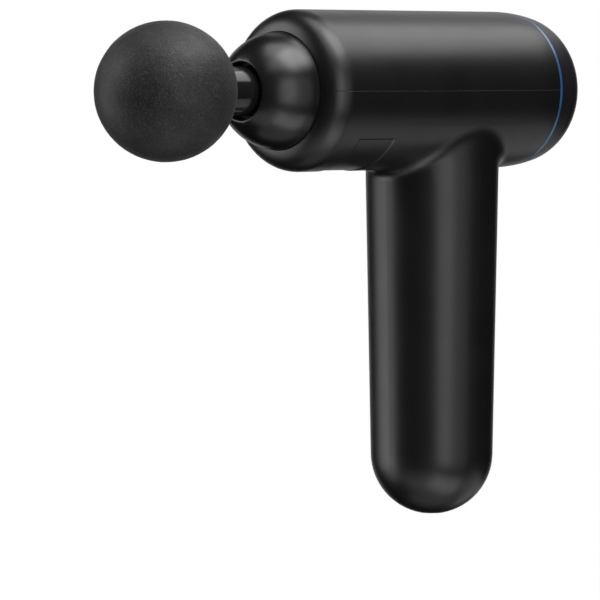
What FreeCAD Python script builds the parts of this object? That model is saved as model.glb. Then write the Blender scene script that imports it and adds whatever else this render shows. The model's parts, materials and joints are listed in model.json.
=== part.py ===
import FreeCAD, Part
import math
import os

# Cordless percussion massage gun: a round barrel with a drafted round handle.
#
# Every function below works in the barrel's frame, in millimetres: X runs along the barrel
# with the massage head towards -X, Y is across, Z is up, and the origin is where the
# handle's axis crosses the barrel's axis. save() lifts each piece by GRIP_DROP, so the
# written parts have their origin on the handle's axis in the middle of the grip.

V = FreeCAD.Vector
X_AXIS = V(1, 0, 0)
Z_AXIS = V(0, 0, 1)
ORIGIN = V(0, 0, 0)

# ---- driving dimensions -------------------------------------------------------------

GRIP_DROP = 82.0            # barrel axis above the middle of the grip

# barrel
BARREL_R = 29.5
SHELL_WALL = 2.5
LIP_START_X = -71.1         # where the front shoulder starts to turn in
LIP_R = 9.9
LIP_TURN = 79.0             # degrees the shoulder turns through
LIP_HOLE_R = 21.6
CAVITY_FRONT_X = -77.5
TAPER_START_X = 31.85       # where the rear starts to sweep in
TAPER_R = 70.0
TAPER_TURN = 12.5
REAR_CORNER_R = 18.0
REAR_DOME_R = 100.0
SEAM_GAP = 0.2              # visible parting line between the two shells
TONGUE_HEIGHT = 1.8
TONGUE_R = BARREL_R - 1.4   # outside of the tongue that locates the upper shell
TONGUE_FRONT_X = -70.0
TONGUE_REAR_X = 30.0
SEAM_SILL_TOP = 0.08        # a low sill behind the tongue keeps the light ring out of the seam
TONGUE_PLAY = 0.25          # end and top clearance of the tongue in its groove
POST_ROOT = 0.6             # how deep posts and tabs are rooted in the wall they stand on
RIB_ROOT = 0.3
RIB_HEIGHT = 1.6
RIB_PLACES_X = (-24.0, 0.0, 18.0)
RIB_THICK = 1.5

# handle
HANDLE_R_AT_AXIS = 25.47    # drafted radius, measured where the axes cross
HANDLE_DRAFT = 1.1          # degrees
HANDLE_BOTTOM_Z = -158.8
JUNCTION_FILLET_END = 4.0   # fillet under the barrel, at the front and rear of the handle
JUNCTION_FILLET_SIDE = 12.0  # fillet where the handle runs up the barrel's sides
LEDGE_TOP_Z = -119.8        # ledges that carry the battery
LEDGE_BOTTOM_Z = -124.5
LEDGE_INNER_R = 15.0

# nose cover
NOSE_R = 21.4
NOSE_WALL = 2.2
NOSE_ARC_R = 24.1
NOSE_ARC_X = -79.9          # centre of the nose's profile arc
NOSE_ARC_DROP = 2.7         # how far that centre lies beyond the axis
NOSE_OPENING_R = 10.5
NOSE_FLANGE_R = 23.0
NOSE_REAR_X = -75.4
NOSE_PLAY = 0.1             # gap between the nose's flange and the shoulder
NOSE_RIM_FILLET = 0.5

# rear end
SHELL_REAR_X = 39.35
LIGHT_RING_WIDTH = 1.3
LIGHT_RING_R = 28.9
LIGHT_RING_BORE_R = 24.8
LIGHT_COLLAR_FRONT_X = 37.4
LIGHT_COLLAR_R = 26.3
CAP_WALL = 2.2
CAP_TAB_HALF = 2.6
CAP_TAB_ARM_R = 22.6        # inner side of the snap tabs' arms
CAP_TAB_ARM_THICK = 1.8
CAP_HOOK_X = 33.2
PANEL_R = 12.2
PANEL_DEPTH = 1.0
BUTTON_R = 7.5
BUTTON_HOLE_R = 7.9
BUTTON_PROUD = 0.35
BUTTON_DISH_R = 40.0
BUTTON_DISH_X = 101.5       # centre of the dish
BUTTON_FLANGE_R = 9.3
BUTTON_FLANGE_X = 57.6
BUTTON_FLANGE_THICK = 1.1
BUTTON_STEM_R = 2.0
INDICATOR_COUNT = 5
INDICATOR_PCR = 10.1
INDICATOR_STEP = 20.0       # degrees between the charge indicators
INDICATOR_HOLE_R = 0.75
LENS_R = 0.7
LENS_PROUD = 0.05
FRAME_X = 34.5              # front face of the frame that ties the shells together
FRAME_THICK = 2.0
FRAME_R = 26.0
FRAME_BORE_R = 12.0
REAR_BOSS_PCR = 21.5
REAR_BOSS_R = 2.8
REAR_BOSS_X = 24.0
REAR_BOSS_WEB_HALF = 1.25
REAR_SCREW_TIP_X = 28.0
RING_BOARD_REAR_X = 37.7
RING_BOARD_R = 18.4
RING_LED_COUNT = 8
RING_LED_DEPTH = 1.2
CONTROL_X = 46.0
CONTROL_R = 17.2
CONTROL_POST_PCR = 14.2
CONTROL_POST_R = 2.4
CONTROL_PILOT_X = 53.5
SWITCH_HALF = 3.0
SWITCH_DEPTH = 3.5
SWITCH_TIP_X = 52.3

# stroke mechanism
CRANK_R = 4.0               # half of the 8 mm stroke
ROD_LENGTH = 34.0
ROD_HALF = 3.0              # half the rod's thickness
PISTON_R = 8.8
PISTON_FRONT_X = -109.8
PISTON_REAR_X = -32.0
FORK_SLOT_HALF = 3.4
FORK_FLOOR_X = -52.5        # leaves the rod's eye free over the whole stroke
RUN_FIT = 0.08              # radial clearance of a shaft that slides or turns in a bore
PRESS_GAP = 0.03            # radial gap drawn between pressed or glued pieces
CRANK_TOP_Z = -4.0
CRANK_BOTTOM_Z = -9.0
CRANK_DISC_R = 10.0
WEIGHT_R = 20.0             # counterweight
SET_SCREW_Z = -6.5
SET_SCREW_R = 1.5
JOURNAL_R = 4.0
BIG_END_R = 8.0             # outside of the rod's big bearing
BIG_END_HALF = 2.5
ROD_BIG_R = 10.5
ROD_EYE_R = 5.5
BUSH_R = 3.5
WRIST_PIN_R = 2.5
WRIST_HOLE_R = 2.9          # hole through the piston's fork
POCKET_DEPTH = 1.4
PISTON_CORE_R = 4.5         # weight-saving bore behind the socket
PISTON_CORE_X = -86.0
SOCKET_MOUTH_R = 6.2
SOCKET_MOUTH_X = -107.4

# massage head
BALL_X = -136.2
BALL_R = 25.0
BALL_HALF_LENGTH = 25.75
NECK_R = 7.45
STEM_R = 5.15
STEM_TIP_R = 4.9
STEM_STEP_X = -103.8
STEM_END_X = -94.5
STEM_GROOVE_R = 4.65
STEM_GROOVE_X0 = -109.4
STEM_GROOVE_X1 = -107.8
SEAL_WIRE_R = 0.6
SEAL_R = 5.3
NECK_GAP = 0.15             # between the head's neck and the piston's face
CORE_DISC_X = -128.0
CORE_NECK_X = -122.0
CORE_DISC_R = 13.0

# chassis and motor
PLATE_TOP_Z = -10.0
PLATE_THICK = 3.0
PLATE_BOTTOM_Z = PLATE_TOP_Z - PLATE_THICK
GUIDE_FRONT_X = -90.0
GUIDE_REAR_X = -60.0
GUIDE_R = 13.5
GUIDE_BORE_R = 11.0
SLEEVE_COLLAR_R = 12.8
SLEEVE_COLLAR_THICK = 1.2
GUSSET_REAR_X = -46.0
GUSSET_THICK = 2.2
MOTOR_R = 18.0
MOTOR_BOTTOM_Z = -38.0
MOTOR_FLANGE_Z = -16.0      # underside of the fixed flange
MOTOR_FLANGE_R = 16.0
MOTOR_TUBE_R = 7.0
MOTOR_TUBE_Z = -35.0
BEARING_R = 5.5
BEARING_THICK = 4.0
BEARING_PLACES_Z = (-17.5, -34.0)
STATOR_TEETH = 12
STATOR_TOP_Z = -20.5
STATOR_BOTTOM_Z = -33.0
STATOR_R = 15.0
STATOR_HUB_R = 9.0
TOOTH_HALF = 1.0
SLOT_HALF = 0.8
COIL_INNER_R = 9.6
COIL_OUTER_R = 13.4
COIL_HALF = 2.2
COIL_OVERHANG = 1.4
MAGNET_COUNT = 14
MAGNET_TOP_Z = -19.0
MAGNET_BOTTOM_Z = -35.0
MAGNET_INNER_R = 15.4
CAN_INNER_R = 16.6
CAN_TOP_Z = -17.0
COOLING_PCR = 11.0
COOLING_HOLE_R = 2.6
SHAFT_R = 2.5
SHAFT_TOP_Z = -4.6
SHAFT_BOTTOM_Z = -39.5
MOTOR_SCREW_PCR = 12.5
MOTOR_SCREW_R = 1.5
MOTOR_SCREW_HEAD = 1.4      # height of the countersunk head
CHASSIS_SCREWS = [(-34.0, 14.0), (-34.0, -14.0), (28.0, 11.5), (28.0, -11.5)]
DAMPER_THICK = 1.5
CHASSIS_POST_R = 3.2
CHASSIS_SCREW_R = 1.4
CHASSIS_SCREW_TIP_Z = -22.0
DAMPER_R = 4.4
SHELL_SCREW_X = -52.0
SHELL_SCREW_Y = 17.0
SHELL_SCREW_R = 1.2
SHELL_SCREW_SEAT_Z = -16.0
SHELL_SCREW_TIP_Z = 9.0
SHELL_POST_R = 3.6

# battery and boards
CELL_R = 9.15
CELL_TOP_Z = -53.0
CELL_BOTTOM_Z = -118.0
CELL_CENTRE_R = 10.8
CELL_FIRST_ANGLE = 30.0
CELL_CAP_R = 3.2            # raised positive end
CELL_CAP_HEIGHT = 0.4
HOLDER_R = 20.1
HOLDER_TOP_Z = -51.4
HOLDER_BOTTOM_Z = -119.6
HOLDER_REACH = 2.0          # how far each holder comes down over the cells
HOLDER_WINDOW_R = 6.5
STRIP_HALF = 2.5
STRIP_GAP = 0.45            # from the end of a can, over the raised end
STRIP_THICK = 0.2
PAD_TOP_Z = -68.0
PAD_BOTTOM_Z = -100.0
PAD_R = 20.9
PAD_INNER_R = 20.15
DRIVER_TOP_Z = -46.0
DRIVER_R = 19.4
DRIVER_POST_PCR = 16.0
BOARD_THICK = 1.6
BOARD_SCREW_R = 0.85        # self-tapping screws of all three boards
BOARD_PILOT_R = 0.88
BOARD_HOLE_R = 1.1
BOARD_SCREW_HEAD_R = 1.9
BOARD_SCREW_HEAD = 1.2
BOARD_POST_R = 2.2
CHARGE_R = 13.0
CHARGE_POST_PCR = 9.8
CHARGE_SCREW_TIP_Z = -150.5
JACK_R = 5.8
JACK_NOSE_R = 4.4
JACK_NOSE_Z = -155.2
JACK_END_Z = -158.35
JACK_BORE_R = 2.85
JACK_BORE_Z = -149.0
JACK_HOLE_R = 4.55          # hole in the handle's end
JACK_PIN_R = 1.0
JACK_PIN_END_Z = -157.4
POWER_LEAD = 1.4            # diameters
SIGNAL_LEAD = 1.2
CHARGE_TOP_Z = -145.0

# label recess under the barrel
LABEL_X0 = -62.9
LABEL_X1 = -44.0
LABEL_HALF_ANGLE = 54.0
LABEL_DEPTH = 0.6
LABEL_MARGIN = 0.15
LABEL_SUNK = 0.35           # how far the plate lies below the barrel's skin

REACH = 200.0               # longer than the whole gun, for cutting blocks


# ---- drawing helpers ----------------------------------------------------------------

class Outline:
    """A profile in the (along, radius) plane, walked as straight runs and tangent arcs."""

    def __init__(self, along, radius, heading=0.0):
        self.point = V(along, radius, 0)
        self.heading = heading
        self.edges = []

    def line(self, along, radius):
        target = V(along, radius, 0)
        step = target - self.point
        self.edges.append(Part.LineSegment(self.point, target).toShape())
        self.heading = math.degrees(math.atan2(step.y, step.x))
        self.point = target
        return self

    def arc(self, radius, turn):
        """Turn left by a positive number of degrees, or right by a negative one."""
        side = math.copysign(90.0, turn)
        centre = self.point + polar(radius, self.heading + side)
        middle = centre + polar(radius, self.heading - side + turn / 2)
        end = centre + polar(radius, self.heading - side + turn)
        self.edges.append(Part.Arc(self.point, middle, end).toShape())
        self.heading += turn
        self.point = end
        return self

    def turned(self):
        """The solid made by closing the outline and turning it about the along axis."""
        start = self.edges[0].Vertexes[0].Point
        if start.distanceToPoint(self.point) > 1e-6:
            self.edges.append(Part.LineSegment(self.point, start).toShape())
        face = Part.Face(Part.Wire(self.edges))
        return face.revolve(ORIGIN, X_AXIS, 360)


def polar(radius, angle):
    return V(radius * math.cos(math.radians(angle)), radius * math.sin(math.radians(angle)), 0)


def disc_x(x0, x1, radius, y=0.0, z=0.0):
    return Part.makeCylinder(radius, x1 - x0, V(x0, y, z), X_AXIS)


def ring_x(x0, x1, outer, inner):
    return disc_x(x0, x1, outer).cut(disc_x(x0, x1, inner))


def disc_z(z0, z1, radius, x=0.0, y=0.0):
    return Part.makeCylinder(radius, z1 - z0, V(x, y, z0), Z_AXIS)


def ring_z(z0, z1, outer, inner, x=0.0, y=0.0):
    return disc_z(z0, z1, outer, x, y).cut(disc_z(z0, z1, inner, x, y))


def block(x0, x1, y0, y1, z0, z1):
    return Part.makeBox(x1 - x0, y1 - y0, z1 - z0, V(x0, y0, z0))


def prism_z(points, z0, z1):
    """A straight-sided solid with the given (x, y) outline, from z0 up to z1."""
    corners = [V(x, y, z0) for x, y in points]
    return Part.Face(Part.makePolygon(corners + corners[:1])).extrude(V(0, 0, z1 - z0))


def turned_x(points):
    """Solid of revolution about X with straight edges between (x, radius) points."""
    outline = Outline(*points[0])
    for along, radius in points[1:]:
        outline.line(along, radius)
    return outline.turned()


def turned_z(points):
    """Solid of revolution about Z with straight edges between (z, radius) points."""
    return upright(turned_x(points))


def upright(shape):
    """Stand a solid that was turned about X up along Z."""
    shape.rotate(ORIGIN, V(0, 1, 0), -90)
    return shape


def about_x(shape, angle):
    copy = shape.copy()
    copy.rotate(ORIGIN, X_AXIS, angle)
    return copy


def about_z(shape, angle):
    copy = shape.copy()
    copy.rotate(ORIGIN, Z_AXIS, angle)
    return copy


def merged(shapes):
    return shapes[0].multiFuse(shapes[1:]).removeSplitter()


def around(count, radius, first=0.0):
    """(x, y) places of count features evenly spaced on a circle."""
    places = [polar(radius, first + 360.0 * k / count) for k in range(count)]
    return [(p.x, p.y) for p in places]


def lead(points, diameter, bend):
    """A held wire: a tube along straight runs joined by tangent arcs."""
    route = [V(*p) for p in points]
    edges = []
    start = route[0]
    for before, corner, after in zip(route, route[1:], route[2:]):
        inward = (before - corner).normalize()
        onward = (after - corner).normalize()
        half_turn = (math.pi - inward.getAngle(onward)) / 2
        cut = bend * math.tan(half_turn)
        first = corner + inward * cut
        last = corner + onward * cut
        bisector = (inward + onward).normalize()
        middle = corner + bisector * (bend / math.cos(half_turn) - bend)
        edges.append(Part.LineSegment(start, first).toShape())
        edges.append(Part.Arc(first, middle, last).toShape())
        start = last
    edges.append(Part.LineSegment(start, route[-1]).toShape())
    path = Part.Wire(edges)
    direction = route[1] - route[0]
    section = Part.Wire(Part.makeCircle(diameter / 2, route[0], direction))
    return path.makePipeShell([section], True, True)


def ball_bearing(z0, z1, bore, outer, x=0.0):
    """Inner ring, outer ring and balls of one bearing, turning about Z."""
    depth = outer - bore
    middle = (bore + outer) / 2
    ball = 0.19 * depth
    count = int(math.pi * middle / ball * 0.8)
    solids = [ring_z(z0, z1, bore + 0.3 * depth, bore, x), ring_z(z0, z1, outer, outer - 0.3 * depth, x)]
    for px, py in around(count, middle):
        solids.append(Part.makeSphere(ball, V(x + px, py, (z0 + z1) / 2)))
    return solids


def pan_screw_z(x, y, seat, tip, shank, head, height):
    """Screw along Z: its head rests on the seat and its shank runs down to the tip."""
    top = disc_z(seat, seat + height, head, x, y)
    slot = block(x - head, x + head, y - 0.3, y + 0.3, seat + 0.6 * height, seat + height)
    return disc_z(tip, seat, shank, x, y).fuse(top.cut(slot)).removeSplitter()


def save(name, *solids):
    """Write one sub-part as a STEP file, lifted into the grip's frame."""
    shape = solids[0].copy() if len(solids) == 1 else Part.makeCompound(list(solids))
    shape.translate(V(0, 0, GRIP_DROP))
    if not shape.isValid():
        print("not valid:", name)
    shape.exportStep(os.path.join("parts", name + ".step"))


# ---- outer form ---------------------------------------------------------------------

def rear_sweep(outline, inset):
    """Continue a barrel outline from the straight part to the pole of the rear dome."""
    turn = math.radians(TAPER_TURN)
    corner_r = BARREL_R - TAPER_R * (1 - math.cos(turn)) - REAR_CORNER_R * math.cos(turn)
    dome_turn = math.degrees(math.asin(corner_r / (REAR_DOME_R - REAR_CORNER_R)))
    outline.line(TAPER_START_X, BARREL_R - inset)
    outline.arc(TAPER_R - inset, -TAPER_TURN)
    outline.arc(REAR_CORNER_R - inset, -(90.0 - TAPER_TURN - dome_turn))
    outline.arc(REAR_DOME_R - inset, -dome_turn)
    return outline


def barrel_form(inset, front_x=None):
    """Barrel from the front shoulder to the rear dome, drawn inset from the outer skin."""
    radius = LIP_R - inset
    turn = LIP_TURN
    if front_x is not None:
        turn = math.degrees(math.asin((LIP_START_X - front_x) / radius))
    start_x = LIP_START_X - radius * math.sin(math.radians(turn))
    start_r = BARREL_R - inset - radius * (1 - math.cos(math.radians(turn)))
    outline = Outline(start_x, 0.0)
    outline.line(start_x, start_r)
    outline.heading = turn
    outline.arc(radius, -turn)
    return rear_sweep(outline, inset).turned()


def handle_form(inset):
    """Drafted round handle with a ball end, drawn inset from the outer skin."""
    draft = math.radians(HANDLE_DRAFT)
    top_r = HANDLE_R_AT_AXIS - inset / math.cos(draft)
    bottom = HANDLE_BOTTOM_Z + inset
    end_r = top_r + bottom * math.tan(draft)
    end_r = end_r / (math.cos(draft) - (1 - math.sin(draft)) * math.tan(draft))
    tangent_z = bottom + end_r * (1 - math.sin(draft))
    outline = Outline(0.0, 0.0)
    outline.line(0.0, top_r)
    outline.line(tangent_z, end_r * math.cos(draft))
    outline.arc(end_r, 90.0 - HANDLE_DRAFT)
    return upright(outline.turned())


def on_junction(edge):
    """True for an edge where the handle's skin meets the barrel's."""
    middle = edge.valueAt((edge.FirstParameter + edge.LastParameter) / 2)
    on_barrel = abs(math.hypot(middle.y, middle.z) - BARREL_R) < 0.02
    handle_r = HANDLE_R_AT_AXIS + middle.z * math.tan(math.radians(HANDLE_DRAFT))
    on_handle = abs(math.hypot(middle.x, middle.y) - handle_r) < 0.02
    return on_barrel and on_handle and middle.z < -BARREL_R / 4


def junction_quarter(form, x0, x1):
    """One side of the form, front or rear half, with its part of the junction filleted."""
    quarter = form.common(block(x0, x1, -REACH, 0.0, -REACH, REACH))
    junction = [edge for edge in quarter.Edges if on_junction(edge)]
    start = junction[0].valueAt(junction[0].FirstParameter)
    if abs(start.x) < 1.0:
        return quarter.makeFillet(JUNCTION_FILLET_SIDE, JUNCTION_FILLET_END, junction)
    return quarter.makeFillet(JUNCTION_FILLET_END, JUNCTION_FILLET_SIDE, junction)


def body_skin():
    """Solid outer form of barrel and handle; the junction's fillet widens towards the sides."""
    form = barrel_form(0.0).fuse(handle_form(0.0)).removeSplitter()
    side = junction_quarter(form, -REACH, 0.0).fuse(junction_quarter(form, 0.0, REACH))
    other_side = side.mirror(V(0, 0, 0), V(0, 1, 0))
    return side.fuse(other_side).removeSplitter().Solids[0]


# ---- shells -------------------------------------------------------------------------

def above(z0):
    return block(-REACH, REACH, -REACH, REACH, z0, REACH)


def below(z1):
    return block(-REACH, REACH, -REACH, REACH, -REACH, z1)


def rear_boss(y, z):
    """Axial screw post for the rear frame, tied to the barrel wall by a web."""
    rear_x = FRAME_X - 0.1
    reach = BARREL_R - SHELL_WALL + RIB_ROOT
    angle = math.degrees(math.atan2(z, y))
    web = block(REAR_BOSS_X, rear_x, REAR_BOSS_PCR, reach, -REAR_BOSS_WEB_HALF, REAR_BOSS_WEB_HALF)
    return disc_x(REAR_BOSS_X, rear_x, REAR_BOSS_R, y, z).fuse(about_x(web, angle))


def rear_pilot(y, z):
    return disc_x(REAR_SCREW_TIP_X - 1.0, FRAME_X - 0.1, 1.05, y, z)


def rear_boss_places():
    return around(2, REAR_BOSS_PCR, 30.0) + around(2, REAR_BOSS_PCR, 150.0)


def shell_halves():
    """Barrel and handle skin, hollowed and split at the barrel's mid plane."""
    skin = body_skin()
    hollow = barrel_form(SHELL_WALL, CAVITY_FRONT_X).fuse(handle_form(SHELL_WALL))
    front_hole = disc_x(-REACH, CAVITY_FRONT_X + 1, LIP_HOLE_R)
    behind = block(SHELL_REAR_X, REACH, -REACH, REACH, -REACH, REACH)
    walls = skin.cut(hollow).cut(front_hole).cut(behind)
    return walls.common(above(SEAM_GAP / 2)), walls.common(below(-SEAM_GAP / 2))


def bosses_inside(posts):
    """Trim screw posts to the barrel's inner skin, with a little root in the wall."""
    return merged(posts).common(barrel_form(SHELL_WALL - POST_ROOT, CAVITY_FRONT_X))


def make_upper_shell(half):
    posts = []
    for side in (-1, 1):
        posts.append(disc_z(SEAM_GAP / 2, BARREL_R, SHELL_POST_R, SHELL_SCREW_X, side * SHELL_SCREW_Y))
    for y, z in rear_boss_places():
        if z > 0:
            posts.append(rear_boss(y, z))
    ribs = []
    wall_r = BARREL_R - SHELL_WALL
    for x in RIB_PLACES_X:
        rib = ring_x(x, x + RIB_THICK, wall_r + RIB_ROOT, wall_r - RIB_HEIGHT)
        ribs.append(rib.common(above(8.0)))
    shell = merged([half, bosses_inside(posts)] + ribs)
    groove = ring_x(TONGUE_FRONT_X - TONGUE_PLAY, TONGUE_REAR_X + TONGUE_PLAY, TONGUE_R + 0.15, wall_r - 0.1)
    shell = shell.cut(groove.common(above(0.0)).common(below(TONGUE_HEIGHT + TONGUE_PLAY)))
    for side in (-1, 1):
        pilot_r = SHELL_SCREW_R + 0.05
        shell = shell.cut(disc_z(0, SHELL_SCREW_TIP_Z + 0.5, pilot_r, SHELL_SCREW_X, side * SHELL_SCREW_Y))
    for y, z in rear_boss_places():
        shell = shell.cut(rear_pilot(y, z))
    return shell


def make_lower_shell(half):
    posts = []
    for side in (-1, 1):
        posts.append(disc_z(-BARREL_R, -SEAM_GAP / 2, SHELL_POST_R, SHELL_SCREW_X, side * SHELL_SCREW_Y))
    for x, y in CHASSIS_SCREWS:
        posts.append(disc_z(-BARREL_R, PLATE_BOTTOM_Z - DAMPER_THICK, CHASSIS_POST_R, x, y))
    for y, z in rear_boss_places():
        if z < 0:
            posts.append(rear_boss(y, z))
    tongue = ring_x(TONGUE_FRONT_X, TONGUE_REAR_X, TONGUE_R, BARREL_R - SHELL_WALL)
    tongue = tongue.common(above(-1.0)).common(below(TONGUE_HEIGHT))
    sill = ring_x(TONGUE_REAR_X, SHELL_REAR_X, TONGUE_R, BARREL_R - SHELL_WALL)
    sill = sill.common(above(-1.0)).common(below(SEAM_SILL_TOP))
    shell = merged([half, bosses_inside(posts), tongue, sill] + handle_ribs())
    for x, y in CHASSIS_SCREWS:
        pilot_top = PLATE_BOTTOM_Z - DAMPER_THICK
        shell = shell.cut(disc_z(CHASSIS_SCREW_TIP_Z - 0.4, pilot_top, CHASSIS_SCREW_R + 0.05, x, y))
    for side in (-1, 1):
        y = side * SHELL_SCREW_Y
        shell = shell.cut(disc_z(-BARREL_R, SHELL_SCREW_SEAT_Z, 2.6, SHELL_SCREW_X, y))
        shell = shell.cut(disc_z(SHELL_SCREW_SEAT_Z, 0.0, SHELL_SCREW_R + 0.15, SHELL_SCREW_X, y))
    for y, z in rear_boss_places():
        shell = shell.cut(rear_pilot(y, z))
    for x, y in charge_screw_places():
        shell = shell.cut(disc_z(CHARGE_SCREW_TIP_Z - 0.5, CHARGE_TOP_Z, BOARD_PILOT_R, x, y))
    shell = shell.cut(disc_z(HANDLE_BOTTOM_Z - 1, -150.0, JACK_HOLE_R))
    return shell.cut(label_sector(BARREL_R - LABEL_DEPTH, BARREL_R + 1, 0.0))


def charge_screw_places():
    return around(3, CHARGE_POST_PCR, 30.0)


def handle_ribs():
    """Ledges that carry the battery, and posts that carry the charging board."""
    inside = handle_form(SHELL_WALL - POST_ROOT)
    ledges = []
    for k in range(3):
        ledge = block(LEDGE_INNER_R, HANDLE_R_AT_AXIS, -1.5, 1.5, LEDGE_BOTTOM_Z, LEDGE_TOP_Z)
        ledges.append(about_z(ledge, 60.0 + 120.0 * k).common(inside))
    for x, y in charge_screw_places():
        post = disc_z(HANDLE_BOTTOM_Z, CHARGE_TOP_Z - BOARD_THICK, BOARD_POST_R, x, y)
        ledges.append(post.common(inside))
    return ledges


def label_sector(inner, outer, margin):
    """Part of a tube under the barrel, as wide as the label less a margin."""
    tube = ring_x(LABEL_X0 + margin, LABEL_X1 - margin, outer, inner)
    half_angle = LABEL_HALF_ANGLE - math.degrees(margin / BARREL_R)
    reach = 2 * BARREL_R
    edge_y = reach * math.sin(math.radians(half_angle))
    edge_z = -reach * math.cos(math.radians(half_angle))
    corners = [V(0, 0, 0), V(0, edge_y, edge_z), V(0, 0, -2 * reach), V(0, -edge_y, edge_z)]
    wedge = Part.Face(Part.makePolygon(corners + corners[:1])).extrude(V(-REACH, 0, 0))
    return tube.common(wedge)


def make_nose_cover():
    """Domed front cover: a retaining flange behind the shoulder and an open front."""
    centre = V(NOSE_ARC_X, -NOSE_ARC_DROP, 0)

    def arc_angle(radius, at_r):
        """Angle from the profile's centre, off upright, where the arc reaches a radius."""
        return math.degrees(math.acos((at_r + NOSE_ARC_DROP) / radius))

    inner_arc = NOSE_ARC_R - NOSE_WALL
    skirt_outer = NOSE_R - 0.01
    skirt_inner = NOSE_R - NOSE_WALL - 0.05
    flange_x = CAVITY_FRONT_X + NOSE_PLAY
    outer_first = arc_angle(NOSE_ARC_R, skirt_outer)
    outer_last = arc_angle(NOSE_ARC_R, NOSE_OPENING_R)
    inner_first = arc_angle(inner_arc, NOSE_OPENING_R)
    inner_last = arc_angle(inner_arc, skirt_inner)
    outer_start = centre + polar(NOSE_ARC_R, 90 + outer_first)
    inner_start = centre + polar(inner_arc, 90 + inner_first)
    outline = Outline(NOSE_REAR_X, skirt_inner)
    outline.line(NOSE_REAR_X, NOSE_FLANGE_R)
    outline.line(flange_x, NOSE_FLANGE_R)
    outline.line(flange_x, NOSE_R)
    outline.line(outer_start.x, outer_start.y)
    outline.heading = 180.0 + outer_first
    outline.arc(NOSE_ARC_R, outer_last - outer_first)
    outline.line(inner_start.x, inner_start.y)
    outline.heading = inner_first
    outline.arc(inner_arc, inner_last - inner_first)
    cover = outline.turned()
    return cover.makeFillet(NOSE_RIM_FILLET, [edge for edge in cover.Edges if on_nose_rim(edge)])


def on_nose_rim(edge):
    """True for the outer circle of the nose's opening."""
    box = edge.BoundBox
    return box.XLength < 0.01 and abs(box.ZMax - NOSE_OPENING_R) < 0.01 and box.XMin < -98


def make_label_plate():
    return label_sector(BARREL_R - LABEL_DEPTH + PRESS_GAP, BARREL_R - LABEL_SUNK, LABEL_MARGIN)


def make_shell_screws():
    screws = []
    for side in (-1, 1):
        y = side * SHELL_SCREW_Y
        seat = SHELL_SCREW_SEAT_Z
        head = disc_z(seat - 2.0, seat, 2 * SHELL_SCREW_R, SHELL_SCREW_X, y)
        socket = disc_z(seat - 2.0, seat - 1.0, 1.1, SHELL_SCREW_X, y)
        shank = disc_z(seat, SHELL_SCREW_TIP_Z, SHELL_SCREW_R, SHELL_SCREW_X, y)
        screws.append(shank.fuse(head.cut(socket)))
    return screws


# ---- rear end: light ring, cap, panel, button ----------------------------------------

def make_light_ring():
    rim = ring_x(SHELL_REAR_X, SHELL_REAR_X + LIGHT_RING_WIDTH, LIGHT_RING_R, LIGHT_RING_BORE_R)
    collar = ring_x(LIGHT_COLLAR_FRONT_X, SHELL_REAR_X, LIGHT_COLLAR_R, LIGHT_RING_BORE_R)
    return rim.fuse(collar).removeSplitter()


def cap_tab():
    """Snap tab of the rear cap: arm, bridge to the cap's wall and hook."""
    half = CAP_TAB_HALF
    arm_outer = CAP_TAB_ARM_R + CAP_TAB_ARM_THICK
    arm_middle = CAP_TAB_ARM_R + CAP_TAB_ARM_THICK / 2
    rear_x = CAP_HOOK_X + 10.3
    arm = block(CAP_HOOK_X, rear_x, CAP_TAB_ARM_R, arm_outer, -half, half)
    bridge = block(rear_x - 2.3, rear_x, arm_middle, arm_outer + 2.8, -half, half)
    hook = block(CAP_HOOK_X, CAP_HOOK_X + 1.1, arm_middle, arm_outer + 1.0, -half, half)
    return merged([arm, bridge, hook])


def indicator_places():
    """(y, z) places of the charge indicators, in an arc above the button."""
    first = 90.0 - INDICATOR_STEP * (INDICATOR_COUNT - 1) / 2
    places = [polar(INDICATOR_PCR, first + INDICATOR_STEP * k) for k in range(INDICATOR_COUNT)]
    return [(p.x, p.y) for p in places]


def control_post_places():
    return around(3, CONTROL_POST_PCR, 90.0)


def make_rear_cap():
    front = SHELL_REAR_X + LIGHT_RING_WIDTH
    keep = block(front, REACH, -REACH, REACH, -REACH, REACH)
    wall = barrel_form(0.0).cut(barrel_form(CAP_WALL)).common(keep)
    inside = barrel_form(CAP_WALL - POST_ROOT)
    posts = []
    for y, z in control_post_places():
        posts.append(disc_x(CONTROL_X + BOARD_THICK, REACH, CONTROL_POST_R, y, z).common(inside))
    tabs = [about_x(cap_tab(), 90.0 * k).common(inside) for k in range(4)]
    cap = merged([wall] + posts + tabs)
    cap = cap.cut(disc_x(CONTROL_X, REACH, BUTTON_HOLE_R))
    recess = disc_x(CONTROL_X, REACH, PANEL_R + 0.1).cut(barrel_form(PANEL_DEPTH))
    cap = cap.cut(recess)
    for y, z in indicator_places():
        cap = cap.cut(disc_x(CONTROL_X, REACH, INDICATOR_HOLE_R, y, z))
    for y, z in control_post_places():
        cap = cap.cut(disc_x(CONTROL_X, CONTROL_PILOT_X, BOARD_PILOT_R, y, z))
    return cap


def make_control_panel():
    skin = barrel_form(0.0).cut(barrel_form(PANEL_DEPTH - PRESS_GAP))
    panel = skin.common(ring_x(CONTROL_X, REACH, PANEL_R, BUTTON_HOLE_R))
    for y, z in indicator_places():
        panel = panel.cut(disc_x(CONTROL_X, REACH, INDICATOR_HOLE_R, y, z))
    return panel


def make_indicator_lenses():
    form = barrel_form(-LENS_PROUD)
    return [disc_x(BUTTON_FLANGE_X, REACH, LENS_R, y, z).common(form) for y, z in indicator_places()]


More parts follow.
